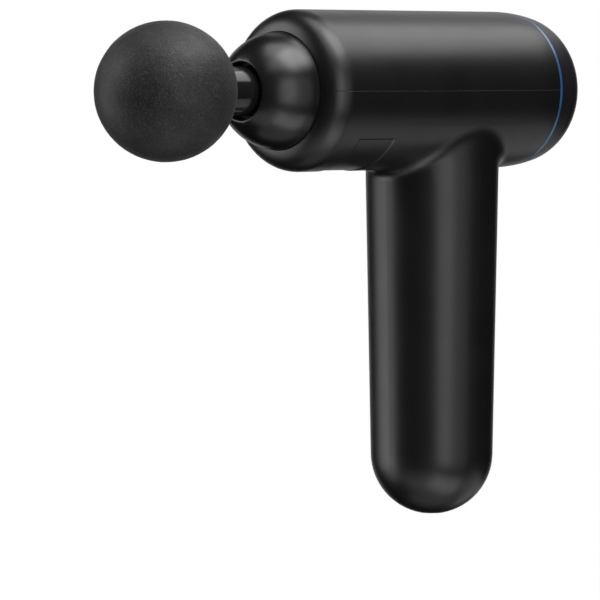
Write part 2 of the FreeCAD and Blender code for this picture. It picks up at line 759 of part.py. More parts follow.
def make_power_button():
    """Round push button: dished face, retaining flange and stem."""
    head = disc_x(BUTTON_FLANGE_X, REACH, BUTTON_R).common(barrel_form(-BUTTON_PROUD))
    dish = Part.makeSphere(BUTTON_DISH_R, V(BUTTON_DISH_X, 0, 0))
    flange = disc_x(BUTTON_FLANGE_X, BUTTON_FLANGE_X + BUTTON_FLANGE_THICK, BUTTON_FLANGE_R)
    stem = disc_x(SWITCH_TIP_X + 0.6, BUTTON_FLANGE_X, BUTTON_STEM_R)
    return merged([head.cut(dish), flange, stem])


def make_control_board():
    board = disc_x(CONTROL_X, CONTROL_X + BOARD_THICK, CONTROL_R)
    for y, z in control_post_places():
        board = board.cut(disc_x(CONTROL_X, CONTROL_X + BOARD_THICK, BOARD_HOLE_R, y, z))
    return board


def make_control_board_screws():
    screws = []
    for y, z in control_post_places():
        head = disc_x(CONTROL_X - BOARD_SCREW_HEAD, CONTROL_X, BOARD_SCREW_HEAD_R, y, z)
        shank = disc_x(CONTROL_X, CONTROL_PILOT_X - 0.5, BOARD_SCREW_R, y, z)
        screws.append(head.fuse(shank).removeSplitter())
    return screws


def make_tact_switch():
    rear = CONTROL_X + BOARD_THICK
    body = block(rear, rear + SWITCH_DEPTH, -SWITCH_HALF, SWITCH_HALF, -SWITCH_HALF, SWITCH_HALF)
    return body.fuse(disc_x(rear + SWITCH_DEPTH, SWITCH_TIP_X, 1.7)).removeSplitter()


def make_indicator_leds():
    rear = CONTROL_X + BOARD_THICK
    return [block(rear, rear + 0.8, y - 0.8, y + 0.8, z - 0.8, z + 0.8) for y, z in indicator_places()]


def make_rear_frame():
    """Carrier plate that ties the two shells together and holds the light ring's board."""
    rear_x = FRAME_X + FRAME_THICK
    frame = ring_x(FRAME_X, rear_x, FRAME_R, FRAME_BORE_R)
    half = CAP_TAB_HALF + 0.4
    slot = block(FRAME_X, rear_x, CAP_TAB_ARM_R - 0.3, CAP_TAB_ARM_R + CAP_TAB_ARM_THICK + 0.3, -half, half)
    for k in range(4):
        frame = frame.cut(about_x(slot, 90.0 * k))
    for y, z in rear_boss_places():
        frame = frame.cut(disc_x(FRAME_X, rear_x, 1.3, y, z))
        frame = frame.cut(Part.makeCone(1.3, 2.5, 1.3, V(FRAME_X + 0.7, y, z), X_AXIS))
    return frame


def make_rear_frame_screws():
    screws = []
    for y, z in rear_boss_places():
        head = Part.makeCone(1.15, 2.4, 1.25, V(FRAME_X + 0.7, y, z), X_AXIS)
        screws.append(disc_x(REAR_SCREW_TIP_X, FRAME_X + 0.7, 1.0, y, z).fuse(head))
    return screws


def make_light_ring_board():
    front_x = FRAME_X + FRAME_THICK + PRESS_GAP
    return ring_x(front_x, RING_BOARD_REAR_X, RING_BOARD_R, FRAME_BORE_R + 1.0)


def make_ring_leds():
    """Side-firing LEDs that light the ring from inside."""
    inner = RING_BOARD_R - RING_LED_DEPTH
    led = block(RING_BOARD_REAR_X, RING_BOARD_REAR_X + RING_LED_DEPTH, inner, RING_BOARD_R, -1.1, 1.1)
    step = 360.0 / RING_LED_COUNT
    return [about_x(led, step * (k + 0.5)) for k in range(RING_LED_COUNT)]


# ---- chassis and guide ----------------------------------------------------------------

def make_chassis():
    """Cast chassis: motor plate, front guide tube and two gussets."""
    plan = [(-74, 10), (-60, 10), (-60, 12.5), (-46, 12.5), (-42, 18), (16, 18), (22, 15), (33.5, 15)]
    mirrored = [(x, -y) for x, y in reversed(plan)]
    plate = prism_z(plan + mirrored, PLATE_BOTTOM_Z, PLATE_TOP_Z)
    tube = disc_x(GUIDE_FRONT_X, GUIDE_REAR_X, GUIDE_R)
    gussets = []
    for y in (-12.5, 12.5 - GUSSET_THICK):
        corners = [V(GUIDE_REAR_X - 1, y, PLATE_BOTTOM_Z), V(GUSSET_REAR_X, y, PLATE_BOTTOM_Z),
                   V(GUSSET_REAR_X, y, PLATE_TOP_Z), V(GUIDE_REAR_X - 1, y, 0)]
        gussets.append(Part.Face(Part.makePolygon(corners + corners[:1])).extrude(V(0, GUSSET_THICK, 0)))
    chassis = merged([plate, tube] + gussets)
    chassis = chassis.cut(disc_x(GUIDE_FRONT_X, GUIDE_REAR_X, GUIDE_BORE_R))
    chassis = chassis.cut(disc_z(PLATE_BOTTOM_Z, PLATE_TOP_Z, 5.6))
    chassis = chassis.cut(block(26.0, 33.5, -5.0, 5.0, PLATE_BOTTOM_Z, PLATE_TOP_Z))
    for x, y in CHASSIS_SCREWS:
        chassis = chassis.cut(disc_z(PLATE_BOTTOM_Z, PLATE_TOP_Z, CHASSIS_SCREW_R + 0.3, x, y))
    for x, y in around(4, MOTOR_SCREW_PCR, 45.0):
        chassis = chassis.cut(disc_z(PLATE_BOTTOM_Z, PLATE_TOP_Z, MOTOR_SCREW_R + 0.1, x, y))
        seat = V(x, y, PLATE_TOP_Z - MOTOR_SCREW_HEAD)
        chassis = chassis.cut(Part.makeCone(MOTOR_SCREW_R + 0.1, 2.95, MOTOR_SCREW_HEAD, seat, Z_AXIS))
    return chassis


def make_chassis_dampers():
    bottom = PLATE_BOTTOM_Z - DAMPER_THICK
    bore = CHASSIS_SCREW_R + 0.3
    return [ring_z(bottom, PLATE_BOTTOM_Z, DAMPER_R, bore, x, y) for x, y in CHASSIS_SCREWS]


def make_chassis_screws():
    shank = CHASSIS_SCREW_R
    tip = CHASSIS_SCREW_TIP_Z
    return [pan_screw_z(x, y, PLATE_TOP_Z, tip, shank, 2 * shank, 1.8) for x, y in CHASSIS_SCREWS]


def make_guide_sleeve():
    """Plain bearing in the guide tube that the piston slides through."""
    sleeve = ring_x(GUIDE_FRONT_X, GUIDE_REAR_X, GUIDE_BORE_R - PRESS_GAP, PISTON_R + RUN_FIT)
    collar_x = GUIDE_FRONT_X - SLEEVE_COLLAR_THICK
    collar = ring_x(collar_x, GUIDE_FRONT_X, SLEEVE_COLLAR_R, PISTON_R + RUN_FIT)
    return sleeve.fuse(collar).removeSplitter()


def make_dust_seal():
    """Rubber wiper ring in front of the guide, just clear of the piston."""
    rear_x = GUIDE_FRONT_X - SLEEVE_COLLAR_THICK - 0.05
    bore = PISTON_R + 0.3
    return turned_x([(rear_x, bore), (rear_x, GUIDE_R - 0.1), (-93.0, GUIDE_R - 0.1),
                     (-95.0, bore + 1.2), (-95.0, bore)])


# ---- motor ----------------------------------------------------------------------------

def make_motor_base():
    """Fixed motor flange with the tube that carries the bearings and the stator."""
    base = disc_z(MOTOR_FLANGE_Z, PLATE_BOTTOM_Z, MOTOR_FLANGE_R)
    base = base.fuse(disc_z(MOTOR_TUBE_Z, MOTOR_FLANGE_Z, MOTOR_TUBE_R))
    base = base.cut(disc_z(MOTOR_TUBE_Z, PLATE_BOTTOM_Z, BEARING_R))
    base = base.fuse(ring_z(-29.0, -19.5, BEARING_R, SHAFT_R + 1.0))
    base = base.cut(block(-17.0, -12.0, -4.5, 4.5, MOTOR_FLANGE_Z, PLATE_BOTTOM_Z))
    for x, y in around(4, MOTOR_SCREW_PCR, 45.0):
        base = base.cut(disc_z(MOTOR_FLANGE_Z, PLATE_BOTTOM_Z, MOTOR_SCREW_R + 0.05, x, y))
    for x, y in around(3, COOLING_PCR, 0.0)[:1] + around(2, COOLING_PCR, 90.0):
        base = base.cut(disc_z(MOTOR_FLANGE_Z, PLATE_BOTTOM_Z, COOLING_HOLE_R, x, y))
    return base.removeSplitter()


def make_motor_bearings():
    rings = []
    for z in BEARING_PLACES_Z:
        rings += ball_bearing(z, z + BEARING_THICK, SHAFT_R + PRESS_GAP, BEARING_R - PRESS_GAP)
    return rings


def make_motor_stator():
    """Laminated core: hub ring, teeth and tooth tips, with slots between the tips."""
    bottom = STATOR_BOTTOM_Z
    top = STATOR_TOP_Z
    hub = disc_z(bottom, top, STATOR_HUB_R)
    tip_inner = STATOR_R - 1.3
    teeth = []
    slots = []
    for k in range(STATOR_TEETH):
        angle = 360.0 * k / STATOR_TEETH
        tooth = block(STATOR_HUB_R - 0.5, tip_inner + 0.5, -TOOTH_HALF, TOOTH_HALF, bottom, top)
        slot = block(tip_inner - 0.7, STATOR_R + 1.0, -SLOT_HALF, SLOT_HALF, bottom, top)
        teeth.append(about_z(tooth, angle))
        slots.append(about_z(slot, angle + 180.0 / STATOR_TEETH))
    tips = ring_z(bottom, top, STATOR_R, tip_inner)
    core = merged([hub, tips] + teeth)
    core = core.cut(disc_z(bottom, top, MOTOR_TUBE_R + PRESS_GAP))
    for slot in slots:
        core = core.cut(slot)
    return core


def make_motor_windings():
    """One rounded coil round each tooth."""
    bottom = STATOR_BOTTOM_Z - COIL_OVERHANG
    top = STATOR_TOP_Z + COIL_OVERHANG
    hole_half = TOOTH_HALF + 0.05
    outer = block(COIL_INNER_R, COIL_OUTER_R, -COIL_HALF, COIL_HALF, bottom, top)
    length = COIL_OUTER_R - COIL_INNER_R
    outer = outer.makeFillet(1.0, [e for e in outer.Edges if abs(e.BoundBox.XLength - length) < 0.01])
    hole_bottom = STATOR_BOTTOM_Z - 0.05
    hole_top = STATOR_TOP_Z + 0.05
    hole = block(COIL_INNER_R, COIL_OUTER_R, -hole_half, hole_half, hole_bottom, hole_top)
    coil = outer.cut(hole)
    return [about_z(coil, 360.0 * k / STATOR_TEETH) for k in range(STATOR_TEETH)]


def make_motor_screws():
    screws = []
    for x, y in around(4, MOTOR_SCREW_PCR, 45.0):
        seat = PLATE_TOP_Z - MOTOR_SCREW_HEAD
        head = Part.makeCone(MOTOR_SCREW_R, 2.85, MOTOR_SCREW_HEAD, V(x, y, seat), Z_AXIS)
        slot = block(x - 3, x + 3, y - 0.3, y + 0.3, PLATE_TOP_Z - 0.6, PLATE_TOP_Z)
        shank = disc_z(MOTOR_FLANGE_Z + 0.2, seat, MOTOR_SCREW_R, x, y)
        screws.append(shank.fuse(head).cut(slot))
    return screws


def make_rotor_bell():
    """Turning can of the motor, open at the top, with cooling holes in its floor."""
    floor_z = MOTOR_BOTTOM_Z + 1.5
    hub_z = MOTOR_BOTTOM_Z + 2.6
    can = turned_z([(MOTOR_BOTTOM_Z, SHAFT_R + PRESS_GAP), (MOTOR_BOTTOM_Z, MOTOR_R - 1.2),
                    (MOTOR_BOTTOM_Z + 1.2, MOTOR_R), (CAN_TOP_Z, MOTOR_R), (CAN_TOP_Z, CAN_INNER_R),
                    (floor_z, CAN_INNER_R), (floor_z, 2 * SHAFT_R), (hub_z, 2 * SHAFT_R),
                    (hub_z, SHAFT_R + PRESS_GAP)])
    for x, y in around(6, COOLING_PCR):
        can = can.cut(disc_z(MOTOR_BOTTOM_Z, floor_z, COOLING_HOLE_R, x, y))
    return can


def make_rotor_magnets():
    magnets = []
    pitch = 2 * math.pi * MAGNET_INNER_R / MAGNET_COUNT
    half_width = 0.43 * pitch
    ring = ring_z(MAGNET_BOTTOM_Z, MAGNET_TOP_Z, CAN_INNER_R - PRESS_GAP, MAGNET_INNER_R)
    bar = block(0.0, MOTOR_R, -half_width, half_width, MAGNET_BOTTOM_Z, MAGNET_TOP_Z)
    for k in range(MAGNET_COUNT):
        magnets.append(ring.common(about_z(bar, 360.0 * k / MAGNET_COUNT)))
    return magnets


def make_motor_shaft():
    return disc_z(SHAFT_BOTTOM_Z, SHAFT_TOP_Z, SHAFT_R)


# ---- crank, rod and piston -------------------------------------------------------------

def make_crank():
    """Crank disc with its counterweight opposite the journal that drives the rod."""
    disc = disc_z(CRANK_BOTTOM_Z, CRANK_TOP_Z, CRANK_DISC_R)
    sector = prism_z([(0, 0), (16.0, 15.5), (26.0, 0), (16.0, -15.5)], CRANK_BOTTOM_Z, CRANK_TOP_Z)
    weight = disc_z(CRANK_BOTTOM_Z, CRANK_TOP_Z, WEIGHT_R).common(sector)
    journal = disc_z(CRANK_TOP_Z, BIG_END_HALF, JOURNAL_R - RUN_FIT, -CRANK_R)
    shoulder = disc_z(CRANK_TOP_Z, -BIG_END_HALF - 0.1, JOURNAL_R + 1.1, -CRANK_R)
    crank = merged([disc, weight, journal, shoulder])
    crank = crank.cut(disc_z(CRANK_BOTTOM_Z, SHAFT_TOP_Z + 0.1, SHAFT_R + PRESS_GAP))
    crank = crank.cut(disc_x(SHAFT_R, WEIGHT_R + 1.0, SET_SCREW_R + 0.05, 0.0, SET_SCREW_Z))
    return crank.cut(disc_z(-1.5, BIG_END_HALF, 1.3, -CRANK_R))


def make_crank_set_screw():
    screw = disc_x(SHAFT_R + 0.05, 8.5, SET_SCREW_R, 0.0, SET_SCREW_Z)
    return screw.cut(disc_x(7.0, 8.5, 0.8, 0.0, SET_SCREW_Z))


def make_crank_retainer():
    """Screw and washer that keep the rod's bearing on the journal."""
    bottom = BIG_END_HALF + 0.05
    top = bottom + 0.75
    washer = disc_z(bottom, top, JOURNAL_R + 1.0, -CRANK_R)
    return washer.fuse(pan_screw_z(-CRANK_R, 0.0, top, -1.2, 1.25, 2.8, 1.7)).removeSplitter()


def make_connecting_rod():
    """Flat rod with a big ring end, an eye and a lightening pocket on each face."""
    big_x = -CRANK_R
    eye_x = -CRANK_R - ROD_LENGTH
    outline = [(big_x - 6, 5.2), (big_x - 6, -5.2), (eye_x + 2, -3.6), (eye_x + 2, 3.6)]
    shank = prism_z(outline, -ROD_HALF, ROD_HALF)
    big_end = disc_z(-ROD_HALF, ROD_HALF, ROD_BIG_R, big_x)
    eye = disc_z(-ROD_HALF, ROD_HALF, ROD_EYE_R, eye_x)
    rod = merged([big_end, eye, shank])
    rod = rod.cut(disc_z(-ROD_HALF, ROD_HALF, BIG_END_R + PRESS_GAP, big_x))
    rod = rod.cut(disc_z(-ROD_HALF, ROD_HALF, BUSH_R + PRESS_GAP, eye_x))
    pocket = [(big_x - 12.5, 3.0), (big_x - 12.5, -3.0), (eye_x + 7.5, -2.2), (eye_x + 7.5, 2.2)]
    for z0 in (-ROD_HALF, ROD_HALF - POCKET_DEPTH):
        rod = rod.cut(prism_z(pocket, z0, z0 + POCKET_DEPTH))
    return rod


def make_big_end_bearing():
    return ball_bearing(-BIG_END_HALF, BIG_END_HALF, JOURNAL_R, BIG_END_R, -CRANK_R)


def make_small_end_bush():
    eye_x = -CRANK_R - ROD_LENGTH
    return ring_z(-ROD_HALF, ROD_HALF, BUSH_R, WRIST_PIN_R + PRESS_GAP, eye_x)


def make_wrist_pin():
    return disc_z(-ROD_HALF, ROD_HALF, WRIST_PIN_R, -CRANK_R - ROD_LENGTH)


def make_piston():
    """Output shaft: a socket for the massage head in front and a fork for the rod behind."""
    eye_x = -CRANK_R - ROD_LENGTH
    piston = turned_x([(PISTON_REAR_X, 0), (PISTON_REAR_X, PISTON_R), (PISTON_FRONT_X + 0.6, PISTON_R),
                       (PISTON_FRONT_X, PISTON_R - 0.6), (PISTON_FRONT_X, 0)])
    across = PISTON_R + 1.0
    piston = piston.cut(block(FORK_FLOOR_X, PISTON_REAR_X, -across, across, -FORK_SLOT_HALF, FORK_SLOT_HALF))
    piston = piston.cut(disc_z(-across, across, WRIST_HOLE_R, eye_x))
    piston = piston.cut(disc_x(PISTON_CORE_X, FORK_FLOOR_X, PISTON_CORE_R))
    piston = piston.cut(disc_x(PISTON_FRONT_X, SOCKET_MOUTH_X, SOCKET_MOUTH_R))
    piston = piston.cut(disc_x(PISTON_FRONT_X, STEM_STEP_X + 0.2, STEM_R + RUN_FIT))
    return piston.cut(disc_x(PISTON_FRONT_X, STEM_END_X + 0.4, STEM_TIP_R + RUN_FIT))


# ---- massage head ----------------------------------------------------------------------

def make_ball_core():
    """Hard core of the head: stem, neck and the disc that anchors the foam."""
    neck_x = PISTON_FRONT_X - NECK_GAP
    return turned_x([(STEM_END_X, 0), (STEM_END_X, STEM_TIP_R - 1.0), (STEM_END_X - 1.0, STEM_TIP_R),
                     (STEM_STEP_X, STEM_TIP_R), (STEM_STEP_X, STEM_R), (STEM_GROOVE_X1, STEM_R),
                     (STEM_GROOVE_X1, STEM_GROOVE_R), (STEM_GROOVE_X0, STEM_GROOVE_R),
                     (STEM_GROOVE_X0, STEM_R), (neck_x, STEM_R), (neck_x, NECK_R), (CORE_NECK_X, NECK_R),
                     (CORE_NECK_X, CORE_DISC_R), (CORE_DISC_X, CORE_DISC_R), (CORE_DISC_X, 0)])


def make_ball_pad():
    """Foam ball, moulded round the core."""
    front = V(BALL_X - BALL_HALF_LENGTH, 0, 0)
    rear = V(BALL_X + BALL_HALF_LENGTH, 0, 0)
    arc = Part.Arc(Part.Ellipse(V(BALL_X, 0, 0), BALL_HALF_LENGTH, BALL_R), 0.0, math.pi).toShape()
    chord = Part.LineSegment(front, rear).toShape()
    ball = Part.Face(Part.Wire([arc, chord])).revolve(ORIGIN, X_AXIS, 360)
    ball = ball.cut(disc_x(CORE_NECK_X, -100.0, NECK_R + PRESS_GAP))
    return ball.cut(disc_x(CORE_DISC_X - PRESS_GAP, CORE_NECK_X + PRESS_GAP, CORE_DISC_R + PRESS_GAP))


def make_stem_seal():
    return Part.makeTorus(SEAL_R, SEAL_WIRE_R, V((STEM_GROOVE_X0 + STEM_GROOVE_X1) / 2, 0, 0), X_AXIS)


# ---- battery, boards and leads ----------------------------------------------------------

def cell_places():
    return around(3, CELL_CENTRE_R, CELL_FIRST_ANGLE)


def driver_post_places():
    return around(3, DRIVER_POST_PCR, CELL_FIRST_ANGLE + 60.0)


def make_battery_cells():
    """Three upright cells, alternate ends up, as a series pack needs."""
    cells = []
    for index, (x, y) in enumerate(cell_places()):
        can = disc_z(CELL_BOTTOM_Z, CELL_TOP_Z, CELL_R, x, y)
        end_z = CELL_TOP_Z if index % 2 == 0 else CELL_BOTTOM_Z - CELL_CAP_HEIGHT
        cap = disc_z(end_z, end_z + CELL_CAP_HEIGHT, CELL_CAP_R, x, y)
        cells.append(can.fuse(cap).removeSplitter())
    return cells


def holder_blank(z0, z1, cell_side_z0, cell_side_z1):
    """Holder disc with a pocket and a contact hole for each cell."""
    holder = disc_z(z0, z1, HOLDER_R)
    for x, y in cell_places():
        holder = holder.cut(disc_z(cell_side_z0, cell_side_z1, CELL_R + 0.1, x, y))
        holder = holder.cut(disc_z(z0, z1, HOLDER_WINDOW_R, x, y))
    return holder


def strip_between(first, second, z0, z1, half_width):
    """Flat bar from the middle of one cell to the middle of another."""
    (x0, y0), (x1, y1) = cell_places()[first], cell_places()[second]
    length = math.hypot(x1 - x0, y1 - y0)
    bar = block(-half_width, length + half_width, -half_width, half_width, z0, z1)
    bar.rotate(ORIGIN, Z_AXIS, math.degrees(math.atan2(y1 - y0, x1 - x0)))
    bar.translate(V(x0, y0, 0))
    return bar


def make_upper_cell_holder():
    """Top holder of the pack, with three posts for the motor driver board."""
    bottom = CELL_TOP_Z - HOLDER_REACH
    board_z = DRIVER_TOP_Z - BOARD_THICK
    holder = holder_blank(bottom, HOLDER_TOP_Z, bottom, CELL_TOP_Z)
    holder = holder.cut(strip_between(0, 1, CELL_TOP_Z, HOLDER_TOP_Z, STRIP_HALF + 0.3))
    posts = [disc_z(HOLDER_TOP_Z, board_z, BOARD_POST_R, x, y) for x, y in driver_post_places()]
    holder = merged([holder] + posts)
    for x, y in driver_post_places():
        holder = holder.cut(disc_z(HOLDER_TOP_Z, board_z, BOARD_PILOT_R, x, y))
    return holder


def make_lower_cell_holder():
    top = CELL_BOTTOM_Z + HOLDER_REACH
    holder = holder_blank(HOLDER_BOTTOM_Z, top, CELL_BOTTOM_Z, top)
    return holder.cut(strip_between(1, 2, HOLDER_BOTTOM_Z, CELL_BOTTOM_Z, STRIP_HALF + 0.3))


def make_nickel_strips():
    outer = STRIP_GAP + STRIP_THICK
    top = strip_between(0, 1, CELL_TOP_Z + STRIP_GAP, CELL_TOP_Z + outer, STRIP_HALF)
    bottom = strip_between(1, 2, CELL_BOTTOM_Z - outer, CELL_BOTTOM_Z - STRIP_GAP, STRIP_HALF)
    return [top, bottom]


def make_battery_pads():
    """Foam strips between the cells and the handle wall."""
    ring = ring_z(PAD_BOTTOM_Z, PAD_TOP_Z, PAD_R, PAD_INNER_R)
    bar = block(0.0, HANDLE_R_AT_AXIS, -4.0, 4.0, PAD_BOTTOM_Z, PAD_TOP_Z)
    return [ring.common(about_z(bar, CELL_FIRST_ANGLE + 120.0 * k)) for k in range(3)]


def make_driver_board():
    board = disc_z(DRIVER_TOP_Z - BOARD_THICK, DRIVER_TOP_Z, DRIVER_R)
    for x, y in driver_post_places():
        board = board.cut(disc_z(DRIVER_TOP_Z - BOARD_THICK, DRIVER_TOP_Z, BOARD_HOLE_R, x, y))
    return board


def make_driver_components():
    """Connectors, transistors, controller chip and two capacitors on the driver board."""
    top = DRIVER_TOP_Z
    parts = [block(-17.0, -12.0, -4.5, 4.5, top, top + 3.8), block(12.0, 17.0, -4.5, 4.5, top, top + 3.8)]
    for column in range(3):
        for row in (-1, 1):
            x = -7.0 + 5.0 * column
            parts.append(block(x, x + 3.2, row * 6.0 - 1.6, row * 6.0 + 1.6, top, top + 1.0))
    parts.append(block(-3.5, 3.5, -3.5, 3.5, top, top + 1.2))
    for x in (-6.5, 6.5):
        parts.append(disc_z(top, top + 5.0, 3.1, x, 13.0))
    return parts


def make_driver_board_screws():
    return [board_screw(x, y, DRIVER_TOP_Z, HOLDER_TOP_Z + 0.9) for x, y in driver_post_places()]


def board_screw(x, y, seat, tip):
    return pan_screw_z(x, y, seat, tip, BOARD_SCREW_R, BOARD_SCREW_HEAD_R, BOARD_SCREW_HEAD)


def make_charge_board():
    bottom = CHARGE_TOP_Z - BOARD_THICK
    board = disc_z(bottom, CHARGE_TOP_Z, CHARGE_R)
    for x, y in charge_screw_places():
        board = board.cut(disc_z(bottom, CHARGE_TOP_Z, BOARD_HOLE_R, x, y))
    chip = block(-3.0, 3.0, -3.0, 3.0, CHARGE_TOP_Z, CHARGE_TOP_Z + 1.2)
    return board.fuse(chip)


def make_charge_board_screws():
    return [board_screw(x, y, CHARGE_TOP_Z, CHARGE_SCREW_TIP_Z) for x, y in charge_screw_places()]


def make_charge_jack():
    """Round power inlet at the bottom of the handle."""
    top = CHARGE_TOP_Z - BOARD_THICK
    body = disc_z(JACK_NOSE_Z, top, JACK_R).fuse(disc_z(JACK_END_Z, JACK_NOSE_Z, JACK_NOSE_R))
    return body.cut(disc_z(JACK_END_Z, JACK_BORE_Z, JACK_BORE_R)).removeSplitter()


def make_jack_contact():
    return disc_z(JACK_PIN_END_Z, JACK_BORE_Z, JACK_PIN_R)


def make_motor_leads():
    leads = []
    for y in (-2.4, 0.0, 2.4):
        route = [(-12.0, y, -14.6), (-20.2, y, -14.6), (-20.2, y, -44.0), (-17.0, y, -44.0)]
        leads.append(lead(route, POWER_LEAD, 1.5))
    return leads


def make_panel_harness():
    """Four leads from the driver board, past the motor, to the control board."""
    leads = []
    for y in (-2.7, -0.9, 0.9, 2.7):
        route = [(17.0, y, -44.0), (20.2, y, -44.0), (20.2, y, -22.0), (29.5, y, -22.0),
                 (29.5, y, -9.0), (CONTROL_X, y, -9.0)]
        leads.append(lead(route, SIGNAL_LEAD, 1.6))
    return leads


def make_battery_leads():
    """One lead from the last cell and one from the top strip, up to the driver board."""
    leads = []
    starts = [(0.0, -CELL_CENTRE_R, CELL_TOP_Z + CELL_CAP_HEIGHT),
              (3.0, CELL_CENTRE_R / 2, CELL_TOP_Z + STRIP_GAP + STRIP_THICK)]
    for x, y, z in starts:
        route = [(x, y, z), (x, y, -50.2), (x + 2.4, y, -50.2), (x + 2.4, y, DRIVER_TOP_Z - BOARD_THICK)]
        leads.append(lead(route, POWER_LEAD, 1.0))
    return leads


def make_charge_leads():
    """Leads from the charging board to the bottom strip and to the first cell."""
    places = cell_places()
    strip_x = (places[1][0] + places[2][0]) / 2
    strip_y = (places[1][1] + places[2][1]) / 2
    cell_x, cell_y = places[0]
    to_strip = [(0.0, -6.0, CHARGE_TOP_Z), (0.0, -6.0, -137.0), (strip_x, strip_y, -128.0),
                (strip_x, strip_y, CELL_BOTTOM_Z - STRIP_GAP - STRIP_THICK)]
    to_cell = [(0.0, 6.0, CHARGE_TOP_Z), (0.0, 6.0, -137.0), (cell_x, cell_y, -126.0),
               (cell_x, cell_y, CELL_BOTTOM_Z)]
    return [lead(to_strip, POWER_LEAD, 4.0), lead(to_cell, POWER_LEAD, 4.0)]


# ---- write every piece -----------------------------------------------------------------

def main():
    os.makedirs("parts", exist_ok=True)
    upper_half, lower_half = shell_halves()

    save("upper_shell", make_upper_shell(upper_half))
    save("lower_shell", make_lower_shell(lower_half))
    save("nose_cover", make_nose_cover())
    save("label_plate", make_label_plate())
    save("shell_screws", *make_shell_screws())

    save("light_ring", make_light_ring())
    save("rear_cap", make_rear_cap())
    save("control_panel", make_control_panel())
    save("indicator_lenses", *make_indicator_lenses())
    save("power_button", make_power_button())
    save("control_board", make_control_board())
    save("control_board_screws", *make_control_board_screws())
    save("tact_switch", make_tact_switch())
    save("indicator_leds", *make_indicator_leds())
    save("rear_frame", make_rear_frame())
    save("rear_frame_screws", *make_rear_frame_screws())
    save("light_ring_board", make_light_ring_board())
    save("ring_leds", *make_ring_leds())

    save("chassis", make_chassis())
    save("chassis_dampers", *make_chassis_dampers())
    save("chassis_screws", *make_chassis_screws())
    save("guide_sleeve", make_guide_sleeve())
    save("dust_seal", make_dust_seal())

    save("motor_base", make_motor_base())
    save("motor_bearings", *make_motor_bearings())
    save("motor_stator", make_motor_stator())
    save("motor_windings", *make_motor_windings())
    save("motor_screws", *make_motor_screws())
    save("rotor_bell", make_rotor_bell())
    save("rotor_magnets", *make_rotor_magnets())
    save("motor_shaft", make_motor_shaft())

    save("crank", make_crank())
    save("crank_set_screw", make_crank_set_screw())
    save("crank_retainer", make_crank_retainer())
    save("connecting_rod", make_connecting_rod())
    save("big_end_bearing", *make_big_end_bearing())
    save("small_end_bush", make_small_end_bush())
    save("wrist_pin", make_wrist_pin())
    save("piston", make_piston())

    save("ball_core", make_ball_core())
    save("ball_pad", make_ball_pad())
    save("stem_seal", make_stem_seal())

    save("battery_cells", *make_battery_cells())
    save("upper_cell_holder", make_upper_cell_holder())
    save("lower_cell_holder", make_lower_cell_holder())
    save("nickel_strips", *make_nickel_strips())
    save("battery_pads", *make_battery_pads())
    save("driver_board", make_driver_board())
    save("driver_components", *make_driver_components())
    save("driver_board_screws", *make_driver_board_screws())
    save("charge_board", make_charge_board())
    save("charge_board_screws", *make_charge_board_screws())
    save("charge_jack", make_charge_jack())
    save("jack_contact", make_jack_contact())
    save("motor_leads", *make_motor_leads())
    save("battery_leads", *make_battery_leads())
    save("charge_leads", *make_charge_leads())
    save("panel_harness", *make_panel_harness())


main()
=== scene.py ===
import json
import math

import bmesh
import bpy
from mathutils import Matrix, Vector, noise


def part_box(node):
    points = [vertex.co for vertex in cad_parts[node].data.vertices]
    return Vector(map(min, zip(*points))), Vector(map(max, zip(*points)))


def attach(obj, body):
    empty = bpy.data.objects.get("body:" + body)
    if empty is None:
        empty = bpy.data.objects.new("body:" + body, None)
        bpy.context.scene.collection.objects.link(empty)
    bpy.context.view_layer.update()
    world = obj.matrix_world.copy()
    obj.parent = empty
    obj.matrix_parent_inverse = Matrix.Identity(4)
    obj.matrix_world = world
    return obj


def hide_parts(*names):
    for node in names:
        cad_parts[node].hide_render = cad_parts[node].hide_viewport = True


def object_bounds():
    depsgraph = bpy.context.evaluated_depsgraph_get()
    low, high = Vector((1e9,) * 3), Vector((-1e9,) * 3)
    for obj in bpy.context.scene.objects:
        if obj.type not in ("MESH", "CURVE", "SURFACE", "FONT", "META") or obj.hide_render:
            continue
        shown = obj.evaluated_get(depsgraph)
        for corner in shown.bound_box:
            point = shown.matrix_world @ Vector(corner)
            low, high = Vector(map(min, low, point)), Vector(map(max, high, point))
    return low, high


# Looks for a cordless massage gun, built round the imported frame. Everything is in metres, in the
# row frame: +X towards the rear cap, the massage head towards -X, +Z up along the handle.

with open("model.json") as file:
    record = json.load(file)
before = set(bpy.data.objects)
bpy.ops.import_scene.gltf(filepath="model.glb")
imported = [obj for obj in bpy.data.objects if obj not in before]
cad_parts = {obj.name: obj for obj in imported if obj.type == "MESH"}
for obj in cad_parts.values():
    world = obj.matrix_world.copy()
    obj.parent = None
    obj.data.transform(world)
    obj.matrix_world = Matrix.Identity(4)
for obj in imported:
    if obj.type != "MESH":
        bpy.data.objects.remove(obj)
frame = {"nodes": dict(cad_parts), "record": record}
CAD_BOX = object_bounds()

MM = 0.001

# ---- camera -------------------------------------------------------------------------

CAMERA_PLACE = Vector((-1.1980, -1.1367, 0.0903))
CAMERA_YAW = 44.79          # degrees clockwise from +Y, seen from above
CAMERA_PITCH = 3.013        # degrees below the horizon
CAMERA_LENS = 264.7         # mm
CAMERA_SENSOR = 36.0        # mm
CLIP_START = 0.05
CLIP_END = 200.0

# ---- light: direction as seen from the camera (azimuth to the right, elevation up) -------

